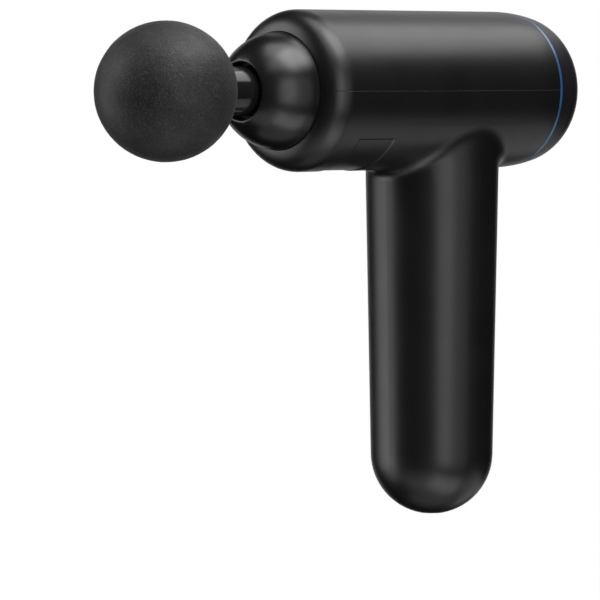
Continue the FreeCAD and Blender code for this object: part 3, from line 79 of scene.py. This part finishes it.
SOFTBOXES = [
    # name, azimuth, elevation, width, height, watts
    ("overhead_rear", 118.0, 52.0, 1.3, 0.9, 10.5),
    ("overhead_right", 54.0, 62.0, 1.1, 1.1, 21.0),
    ("overhead_front", 15.0, 57.0, 1.2, 0.8, 6.0),
    ("top", 0.0, 88.0, 0.9, 0.9, 8.0),
    ("rear_high", 168.0, 35.0, 1.0, 0.8, 1.2),
    ("left_wide", -97.0, 8.0, 1.3, 2.0, 12.0),
    ("left_high", -90.0, 30.0, 0.8, 1.0, 5.0),
    ("left_low", -90.0, -22.0, 0.8, 1.0, 3.0),
    ("front_wide", 40.0, 0.0, 1.6, 1.6, 5.5),
    ("front_strip", 21.0, 2.0, 0.8, 1.4, 5.5),
    ("front_fill", 0.0, 0.0, 2.6, 2.6, 1.0),
    ("under_right", 38.0, -58.0, 1.4, 0.8, 6.5),
    ("under_front", -25.0, -52.0, 2.0, 0.8, 3.5),
    ("under_rear", 120.0, -42.0, 1.6, 0.8, 2.5),
    ("bottom", 0.0, -88.0, 1.4, 1.4, 2.5),
    ("behind", 180.0, 0.0, 1.5, 1.5, 4.0),
]
LIGHT_DISTANCE = 1.6        # from the middle of the gun to every softbox
FLOOR_DROP = 1.9            # floor below the handle's end, and below every softbox
FLOOR_SIZE = 60.0


# ---- small helpers ------------------------------------------------------------------

def node_centre(name):
    low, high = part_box(name)
    return (low + high) / 2


def add_piece(name, mesh, material, body):
    """Turn a bmesh into an object with one material, riding on a CAD body."""
    data = bpy.data.meshes.new(name)
    mesh.to_mesh(data)
    mesh.free()
    data.materials.append(material)
    piece = bpy.data.objects.new(name, data)
    bpy.context.scene.collection.objects.link(piece)
    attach(piece, body)
    return piece


def skin_rows(mesh, rows, closed):
    """Four-sided bar through rows of four points; capped at both ends unless it is closed."""
    followers = rows[1:] + rows[:1] if closed else rows[1:]
    for row, after in zip(rows, followers):
        for k in range(4):
            mesh.faces.new((row[k], row[k - 3], after[k - 3], after[k]))
    if not closed:
        mesh.faces.new(rows[0][::-1])
        mesh.faces.new(rows[-1])


BARREL_Z = node_centre("piston").z      # height of the barrel's axis


class Shader:
    """Builds one node material around a Principled BSDF, in object coordinates."""

    def __init__(self, name):
        self.material = bpy.data.materials.new(name)
        self.material.use_nodes = True
        self.tree = self.material.node_tree
        self.principled = self.tree.nodes["Principled BSDF"]
        self.coordinates = self.add("ShaderNodeTexCoord").outputs["Object"]

    def add(self, kind, **settings):
        node = self.tree.nodes.new(kind)
        for key, value in settings.items():
            setattr(node, key, value)
        return node

    def link(self, output, node, socket):
        self.tree.links.new(output, node.inputs[socket])

    def set(self, **values):
        for key, value in values.items():
            self.principled.inputs[key.replace("_", " ")].default_value = value

    def stretched(self, scale):
        mapping = self.add("ShaderNodeMapping")
        mapping.inputs["Scale"].default_value = scale
        self.link(self.coordinates, mapping, "Vector")
        return mapping.outputs["Vector"]

    def noise(self, size, detail=2.0, roughness=0.5, vector=None):
        """Noise whose features are about size metres across."""
        node = self.add("ShaderNodeTexNoise")
        node.inputs["Scale"].default_value = 1.0 / size
        node.inputs["Detail"].default_value = detail
        node.inputs["Roughness"].default_value = roughness
        self.link(vector or self.coordinates, node, "Vector")
        return node.outputs["Fac"]

    def cells(self, size):
        """Distance to the nearest of scattered points, about size metres apart."""
        node = self.add("ShaderNodeTexVoronoi")
        node.inputs["Scale"].default_value = 1.0 / size
        self.link(self.coordinates, node, "Vector")
        return node.outputs["Distance"]

    def spread(self, value, low, high, from_low=0.3, from_high=0.7):
        """Map a 0 to 1 field onto the range from low to high."""
        node = self.add("ShaderNodeMapRange")
        node.inputs["From Min"].default_value = from_low
        node.inputs["From Max"].default_value = from_high
        node.inputs["To Min"].default_value = low
        node.inputs["To Max"].default_value = high
        self.link(value, node, "Value")
        return node.outputs["Result"]

    def math(self, operation, first, second):
        node = self.add("ShaderNodeMath", operation=operation)
        self.link(first, node, 0)
        if isinstance(second, float):
            node.inputs[1].default_value = second
        else:
            self.link(second, node, 1)
        return node.outputs["Value"]

    def blend(self, factor, first, second):
        """Mix two plain colours, or a colour and a socket, by a factor socket."""
        node = self.add("ShaderNodeMix", data_type="RGBA")
        self.link(factor, node, 0)
        for socket, colour in ((6, first), (7, second)):
            if isinstance(colour, tuple):
                node.inputs[socket].default_value = (*colour, 1.0)
            else:
                self.link(colour, node, socket)
        return node.outputs[2]

    def colour(self, output):
        self.link(output, self.principled, "Base Color")

    def rough(self, output):
        self.link(output, self.principled, "Roughness")

    def soft_edges(self, radius):
        """Normal as if every sharp edge were broken to this radius."""
        node = self.add("ShaderNodeBevel", samples=6)
        node.inputs["Radius"].default_value = radius
        return node.outputs["Normal"]

    def edge_wear(self, softened):
        """About 1 on sharp edges and 0 elsewhere, broken up by noise."""
        geometry = self.add("ShaderNodeNewGeometry")
        node = self.add("ShaderNodeVectorMath", operation="DOT_PRODUCT")
        self.link(softened, node, 0)
        self.link(geometry.outputs["Normal"], node, 1)
        edges = self.spread(node.outputs["Value"], 0.0, 1.0, 0.99, 0.85)
        return self.math("MULTIPLY", edges, self.noise(1.5 * MM, 3.0, 0.7))

    def relief(self, height, depth, before=None):
        """Bump of the given depth in metres; chains after another normal when one is given."""
        node = self.add("ShaderNodeBump")
        node.inputs["Strength"].default_value = 1.0
        node.inputs["Distance"].default_value = depth
        self.link(height, node, "Height")
        if before is not None:
            self.link(before, node, "Normal")
        self.link(node.outputs["Normal"], self.principled, "Normal")
        return node.outputs["Normal"]


def shade(colour, factor):
    return tuple(min(1.0, c * factor) for c in colour)


# ---- materials ----------------------------------------------------------------------

WORN_EDGE = 4.0             # how much paler the plastic is where its edges have rubbed
HAZE = 0.05                 # spread of the plastic's roughness where it is handled


def moulded_plastic(name, colour, roughness, grain=0.35, grain_depth=0.004, edge=None):
    """Injection-moulded plastic: spark-eroded grain, faint flow mottling and handling haze.

    The grain, its depth and the radius of the softened edges are in millimetres.
    """
    s = Shader(name)
    mottle = s.noise(14 * MM, 3.0)
    skin = s.blend(s.spread(mottle, 0.0, 1.0), shade(colour, 0.88), shade(colour, 1.12))
    softened = None
    if edge:
        softened = s.soft_edges(edge * MM)
        skin = s.blend(s.edge_wear(softened), skin, shade(colour, WORN_EDGE))
    s.colour(skin)
    handled = s.noise(22 * MM, 4.0, 0.6)
    s.rough(s.spread(handled, roughness - HAZE / 2, roughness + HAZE / 2))
    s.relief(s.noise(grain * MM, 2.0), grain_depth * MM, softened)
    return s.material


def glossy_plastic(name, colour, roughness):
    """Polished plastic with a little sink and fine dust-like roughness."""
    s = Shader(name)
    s.colour(s.blend(s.spread(s.noise(9 * MM), 0.0, 1.0), shade(colour, 0.9), shade(colour, 1.1)))
    s.rough(s.spread(s.noise(3 * MM, 5.0, 0.7), roughness * 0.8, roughness * 1.3))
    s.relief(s.noise(4 * MM, 1.0), 0.01 * MM)
    return s.material


def foam(name, dark, light):
    """Moulded EVA foam: fine closed cells with lighter skin between them."""
    s = Shader(name)
    speckle = s.noise(0.7 * MM, 5.0, 0.8)
    patches = s.noise(9 * MM, 3.0)
    both = s.math("ADD", s.spread(speckle, 0.0, 0.8, 0.50, 0.64), s.spread(patches, -0.1, 0.2))
    s.colour(s.blend(both, dark, light))
    s.rough(s.spread(patches, 0.56, 0.48))
    pits = s.relief(s.cells(0.9 * MM), 0.05 * MM)
    s.relief(speckle, 0.09 * MM, pits)
    s.set(Specular_IOR_Level=0.3, Sheen_Weight=0.03, Sheen_Roughness=0.6)
    return s.material


def rubber(name, colour):
    s = Shader(name)
    s.colour(s.blend(s.noise(2 * MM, 4.0), shade(colour, 0.8), shade(colour, 1.25)))
    s.rough(s.spread(s.noise(1 * MM, 3.0), 0.62, 0.78))
    s.relief(s.noise(0.4 * MM, 2.0), 0.01 * MM)
    return s.material


def metal(name, colour, roughness, stretch=(1.0, 1.0, 1.0), depth=0.003, grain=0.5):
    """Bare metal; stretch draws the grain out along the tool's path."""
    s = Shader(name)
    along = s.stretched(stretch)
    scratches = s.noise(grain * MM, 4.0, 0.7, along)
    s.colour(s.blend(s.spread(scratches, 0.0, 1.0), shade(colour, 0.85), shade(colour, 1.08)))
    s.rough(s.spread(s.noise(2 * MM, 3.0, 0.6, along), roughness * 0.8, roughness * 1.25))
    s.relief(scratches, depth * MM)
    s.set(Metallic=1.0)
    return s.material


def wound_wire(name, colour):
    """Enamelled copper: close-laid turns drawn as bands across the coil, the darker part of each
    band painted shade in the groove between neighbouring turns.
    """
    s = Shader(name)
    wave = s.add("ShaderNodeTexWave", wave_type="BANDS", bands_direction="Z")
    wave.inputs["Scale"].default_value = 1.0 / (1.6 * MM)
    wave.inputs["Distortion"].default_value = 0.6
    s.link(s.coordinates, wave, "Vector")
    # painted shade: the copper's colour drops to under half in the groove between one turn and the
    # next
    s.colour(s.blend(wave.outputs["Fac"], shade(colour, 0.45), colour))
    s.rough(s.spread(wave.outputs["Fac"], 0.38, 0.24, 0.0, 1.0))
    s.relief(wave.outputs["Fac"], 0.08 * MM)
    s.set(Metallic=0.85)
    return s.material


def circuit_board(name, mask, trace, pad):
    """Solder mask with traces showing through and scattered tinned pads."""
    s = Shader(name)
    brick = s.add("ShaderNodeTexBrick")
    brick.inputs["Scale"].default_value = 1.0 / (9 * MM)
    brick.inputs["Mortar Size"].default_value = 0.035
    brick.inputs["Color1"].default_value = (0.0, 0.0, 0.0, 1.0)
    brick.inputs["Color2"].default_value = (0.0, 0.0, 0.0, 1.0)
    brick.inputs["Mortar"].default_value = (1.0, 1.0, 1.0, 1.0)
    s.link(s.coordinates, brick, "Vector")
    lines = brick.outputs["Color"]
    base = s.blend(lines, mask, trace)
    dots = s.spread(s.cells(3.1 * MM), 1.0, 0.0, 0.16, 0.2)
    s.colour(s.blend(dots, base, pad))
    s.rough(s.spread(dots, 0.34, 0.22, 0.0, 1.0))
    s.relief(dots, 0.05 * MM)
    return s.material


def light_guide(name, colour, glow):
    """Edge-lit acrylic: blue tint, milky inside, a little brighter in scattered patches."""
    s = Shader(name)
    patches = s.noise(11 * MM, 1.0)
    tint = s.blend(s.spread(patches, 0.0, 1.0), shade(colour, 0.8), shade(colour, 1.2))
    s.colour(tint)
    s.rough(s.spread(s.noise(1.5 * MM, 3.0), 0.25, 0.4))
    s.link(tint, s.principled, "Emission Color")
    s.set(Emission_Strength=glow, Coat_Weight=0.4, Coat_Roughness=0.2)
    return s.material


def shrink_wrap(name, colour):
    """Plain PVC sleeve over a cell, slightly wavy where it shrank."""
    s = Shader(name)
    mottle = s.spread(s.noise(18 * MM), 0.0, 1.0)
    s.colour(s.blend(mottle, shade(colour, 0.85), shade(colour, 1.15)))
    s.rough(s.spread(s.noise(5 * MM, 3.0), 0.22, 0.34))
    s.relief(s.noise(6 * MM, 2.0, 0.5, s.stretched((1.0, 1.0, 0.3))), 0.06 * MM)
    return s.material


def clear_lens(name, colour):
    s = Shader(name)
    s.colour(s.blend(s.noise(1.0 * MM, 2.0), shade(colour, 0.8), colour))
    s.rough(s.spread(s.noise(0.6 * MM, 2.0), 0.12, 0.2))
    s.set(Transmission_Weight=0.35, Coat_Weight=0.5, Coat_Roughness=0.08)
    return s.material


def make_materials():
    """One material for each finish slot of the record."""
    shell = (0.0042, 0.0042, 0.0044)
    nose = (0.0035, 0.0035, 0.0037)
    mask, trace, pad = (0.008, 0.07, 0.03), (0.02, 0.13, 0.055), (0.6, 0.55, 0.4)
    lathe = (0.2, 1.0, 1.0)
    return {
        "shell_black": moulded_plastic("shell_black", shell, 0.35, edge=0.2),
        "nose_black": moulded_plastic("nose_black", nose, 0.29, 0.25, 0.002, edge=0.2),
        "cap_charcoal": moulded_plastic("cap_charcoal", (0.0075, 0.0065, 0.008), 0.36, edge=0.2),
        "label_black": moulded_plastic("label_black", shell, 0.34, 0.2, 0.002, edge=0.15),
        "button_black": moulded_plastic("button_black", (0.010, 0.010, 0.0105), 0.36, edge=0.15),
        "core_plastic": moulded_plastic("core_plastic", (0.018, 0.018, 0.019), 0.4),
        "holder_plastic": moulded_plastic("holder_plastic", (0.05, 0.05, 0.052), 0.5),
        "component_black": moulded_plastic("component_black", (0.02, 0.02, 0.021), 0.5, 0.2, 0.006),
        "slide_polymer": moulded_plastic("slide_polymer", (0.62, 0.59, 0.52), 0.42),
        "socket_black": glossy_plastic("socket_black", (0.008, 0.008, 0.008), 0.16),
        "panel_black": glossy_plastic("panel_black", (0.004, 0.004, 0.005), 0.08),
        "foam_grey": foam("foam_grey", (0.006, 0.006, 0.0062), (0.045, 0.045, 0.046)),
        "pad_foam": foam("pad_foam", (0.02, 0.02, 0.02), (0.07, 0.07, 0.07)),
        "soft_rubber": rubber("soft_rubber", (0.016, 0.016, 0.016)),
        "lead_red": rubber("lead_red", (0.38, 0.02, 0.02)),
        "lead_black": rubber("lead_black", (0.02, 0.02, 0.02)),
        "light_guide": light_guide("light_guide", (0.014, 0.065, 0.17), 0.34),
        "lens_clear": clear_lens("lens_clear", (0.72, 0.76, 0.8)),
        "cast_aluminium": metal("cast_aluminium", (0.62, 0.63, 0.64), 0.42, depth=0.02, grain=0.8),
        "turned_steel": metal("turned_steel", (0.58, 0.58, 0.6), 0.26, lathe),
        "black_steel": metal("black_steel", (0.07, 0.07, 0.075), 0.4),
        "core_laminate": metal("core_laminate", (0.3, 0.3, 0.32), 0.45, (1.0, 1.0, 12.0), 0.02),
        "bronze": metal("bronze", (0.55, 0.34, 0.14), 0.33),
        "magnet": metal("magnet", (0.62, 0.62, 0.62), 0.2),
        "nickel": metal("nickel", (0.66, 0.63, 0.56), 0.28, (1.0, 0.2, 1.0)),
        "copper_wire": wound_wire("copper_wire", (0.64, 0.25, 0.10)),
        "circuit_board": circuit_board("circuit_board", mask, trace, pad),
        "cell_wrap": shrink_wrap("cell_wrap", (0.02, 0.13, 0.28)),
    }


def dress_cad_nodes(materials):
    """Give every carried-over CAD node the material of its slot in the record."""
    for subpart in frame["record"]["subparts"]:
        node = frame["nodes"][subpart["node"]]
        node.material_slots[0].material = materials[subpart["material_slot"]]


# ---- massage head --------------------------------------------------------------------

FOAM_LEVEL = 7              # icosphere subdivisions of the foam ball
FOAM_RELIEF = 0.045 * MM    # height of the foam's skin texture
FOAM_LUMP = 5 * MM
FOAM_LUMP_SHARE = 1.2       # the lumps' height, with that of the finer cells as 1
FOAM_CELL = 1.3 * MM
FOAM_CENTRE = 25.75 * MM    # from the ball's front to its centre
FOAM_NECK_R = 7.45 * MM     # the neck that the foam closes round
DIMPLE_LIP = 1.6 * MM       # rounding where the foam tucks in against the neck


def foam_relief(point):
    """Uneven skin of moulded foam: shallow lumps with finer cells on them."""
    lumps = noise.noise(point / FOAM_LUMP) * FOAM_LUMP_SHARE
    cells = noise.noise(point / FOAM_CELL)
    return FOAM_RELIEF * (lumps + cells)


def make_foam_ball(material):
    """Foam ball with a real skin texture and a rounded dimple round the neck."""
    low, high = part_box("ball_pad")
    half_height = (high.z - low.z) / 2
    centre = Vector((low.x + FOAM_CENTRE, 0.0, BARREL_Z))
    edge = FOAM_NECK_R + DIMPLE_LIP
    mesh = bmesh.new()
    bmesh.ops.create_icosphere(mesh, subdivisions=FOAM_LEVEL, radius=1.0)
    for vertex in mesh.verts:
        unit = vertex.co.copy()
        point = Vector((unit.x * (centre.x - low.x), unit.y * half_height, unit.z * half_height))
        point += unit * (foam_relief(point) - FOAM_RELIEF * FOAM_LUMP_SHARE)
        from_axis = math.hypot(point.y, point.z)
        if unit.x > 0 and from_axis < edge:
            share = (edge - from_axis) / DIMPLE_LIP
            point.x -= DIMPLE_LIP * (1.0 - math.sqrt(max(0.0, 1.0 - min(1.0, share) ** 2)))
        vertex.co = centre + point
    ball = add_piece("foam_ball", mesh, material, "ball_head")
    ball.data.shade_smooth()
    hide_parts("ball_pad")


# ---- power symbol on the button ------------------------------------------------------

DISH_CENTRE_X = 101.5 * MM  # the button's face is part of a ball with this centre and radius
DISH_R = 40.0 * MM
ICON_R = 2.6 * MM
ICON_HALF_WIDTH = 0.2 * MM
ICON_GAP = 35.0             # degrees either side of the top that the arc leaves open
ICON_ARC_STEPS = 48
ICON_BAR_LOW = 0.6 * MM
ICON_BAR_HIGH = 3.2 * MM
ICON_BAR_STEPS = 6
ICON_SUNK = 0.01 * MM
ICON_PROUD = 0.03 * MM


def on_dish(y, z, lift):
    """Point lift above the button's dished face; y and z are measured from the barrel's axis."""
    x = DISH_CENTRE_X - math.sqrt(DISH_R ** 2 - y ** 2 - z ** 2) + lift
    return Vector((x, y, BARREL_Z + z))


def add_stroke(mesh, path):
    """Closed raised line along (y, z, unit across) stations on the button's face."""
    rows = []
    for y, z, across_y, across_z in path:
        row = []
        for side, lift in ((-1, -ICON_SUNK), (-1, ICON_PROUD), (1, ICON_PROUD), (1, -ICON_SUNK)):
            shift = side * ICON_HALF_WIDTH
            row.append(mesh.verts.new(on_dish(y + across_y * shift, z + across_z * shift, lift)))
        rows.append(row)
    skin_rows(mesh, rows, closed=False)


def make_power_symbol(material):
    """Generic on/off mark: a broken circle with a short bar at its top."""
    mesh = bmesh.new()
    arc = []
    for k in range(ICON_ARC_STEPS + 1):
        a = math.radians(ICON_GAP + (360.0 - 2 * ICON_GAP) * k / ICON_ARC_STEPS)
        arc.append((ICON_R * math.sin(a), ICON_R * math.cos(a), math.sin(a), math.cos(a)))
    add_stroke(mesh, arc)
    bar = []
    for k in range(ICON_BAR_STEPS + 1):
        up = ICON_BAR_LOW + (ICON_BAR_HIGH - ICON_BAR_LOW) * k / ICON_BAR_STEPS
        bar.append((0.0, up, 1.0, 0.0))
    add_stroke(mesh, bar)
    bmesh.ops.recalc_face_normals(mesh, faces=mesh.faces)
    add_piece("power_symbol", mesh, material, "power_button")


# ---- rim of the label recess ---------------------------------------------------------

LABEL_HALF_ANGLE = 54.0     # degrees each way from straight down, to the ends of the recess
LABEL_GAP = 0.15 * MM       # from the label plate's edge to the end of its recess
RIM_WIDTH = 0.75 * MM
RIM_SUNK = 0.02 * MM        # the rim's top edge, below the barrel's skin
RIM_OVERLAP = 0.05 * MM     # how far the rim reaches into the plate
RIM_STEPS = 96


def make_label_rim(material):
    """Sloping lip round the label plate, from the plate up to the barrel's skin."""
    barrel_r = CAD_BOX[1].y             # nothing on the gun is wider than the barrel
    low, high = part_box("label_plate")
    plate_r = BARREL_Z - low.z
    outer_angle = math.radians(LABEL_HALF_ANGLE)
    inner_angle = outer_angle - RIM_WIDTH / barrel_r
    rear = high.x + LABEL_GAP
    front = low.x - LABEL_GAP
    mesh = bmesh.new()
    rows = []
    ends = ((rear, rear - RIM_WIDTH, 1.0), (front, front + RIM_WIDTH, -1.0))
    for outer_x, inner_x, sense in ends:
        for k in range(RIM_STEPS + 1):
            turn = sense * (2.0 * k / RIM_STEPS - 1.0)
            outer = (outer_x, turn * outer_angle)
            inner = (inner_x, turn * inner_angle)
            row = []
            for (x, a), r in (
                (outer, plate_r - RIM_OVERLAP),
                (outer, barrel_r - RIM_SUNK),
                (inner, plate_r),
                (inner, plate_r - RIM_OVERLAP),
            ):
                row.append(mesh.verts.new((x, r * math.sin(a), BARREL_Z - r * math.cos(a))))
            rows.append(row)
    skin_rows(mesh, rows, closed=True)
    bmesh.ops.recalc_face_normals(mesh, faces=mesh.faces)
    add_piece("label_rim", mesh, material, "housing")


# ---- stage ---------------------------------------------------------------------------

def add_camera():
    data = bpy.data.cameras.new("camera")
    data.lens = CAMERA_LENS
    data.sensor_width = CAMERA_SENSOR
    data.clip_start = CLIP_START
    data.clip_end = CLIP_END
    camera = bpy.data.objects.new("camera", data)
    camera.location = CAMERA_PLACE
    camera.rotation_euler = (math.radians(90.0 - CAMERA_PITCH), 0.0, math.radians(-CAMERA_YAW))
    bpy.context.scene.collection.objects.link(camera)
    bpy.context.scene.camera = camera


def seen_from_camera(azimuth, elevation):
    """Unit vector for a direction given as the camera's azimuth (right) and elevation (up)."""
    heading = math.radians(CAMERA_YAW)
    towards = Vector((-math.sin(heading), -math.cos(heading), 0.0))
    right = Vector((math.cos(heading), -math.sin(heading), 0.0))
    a = math.radians(azimuth)
    e = math.radians(elevation)
    level = towards * math.cos(a) + right * math.sin(a)
    return level * math.cos(e) + Vector((0.0, 0.0, math.sin(e)))


def add_softbox(name, azimuth, elevation, width, height, watts):
    data = bpy.data.lights.new(name, "AREA")
    data.shape = "RECTANGLE"
    data.size = width
    data.size_y = height
    data.energy = watts
    light = bpy.data.objects.new(name, data)
    target = Vector((0.0, 0.0, BARREL_Z / 2))
    direction = seen_from_camera(azimuth, elevation)
    light.location = target + direction * LIGHT_DISTANCE
    light.rotation_mode = "QUATERNION"
    light.rotation_quaternion = (-direction).to_track_quat("-Z", "Y")
    bpy.context.scene.collection.objects.link(light)


def add_floor():
    """Plain pale floor, well below the handle; it glows white and isn't seen in reflections."""
    height = CAD_BOX[0].z - FLOOR_DROP
    bpy.ops.mesh.primitive_plane_add(size=FLOOR_SIZE, location=(0.0, 0.0, height))
    floor = bpy.context.object
    floor.name = "floor"
    s = Shader("floor_white")
    s.set(Base_Color=(0.9, 0.9, 0.9, 1.0), Roughness=0.9, Emission_Strength=1.0)
    s.principled.inputs["Emission Color"].default_value = (1.0, 1.0, 1.0, 1.0)
    floor.data.materials.append(s.material)
    floor.visible_diffuse = False
    floor.visible_glossy = False


def add_world():
    """White all round for the camera; the softboxes alone light the gun."""
    world = bpy.data.worlds.new("studio")
    world.use_nodes = True
    background = world.node_tree.nodes["Background"]
    background.inputs["Color"].default_value = (1.0, 1.0, 1.0, 1.0)
    background.inputs["Strength"].default_value = 1.0
    world.cycles_visibility.diffuse = False
    world.cycles_visibility.glossy = False
    bpy.context.scene.world = world


def build():
    bpy.context.scene.view_settings.view_transform = "Standard"
    add_camera()
    materials = make_materials()
    dress_cad_nodes(materials)
    make_foam_ball(materials["foam_grey"])
    make_power_symbol(materials["slide_polymer"])
    make_label_rim(materials["label_black"])
    add_floor()
    add_world()
    for box in SOFTBOXES:
        add_softbox(*box)


build()
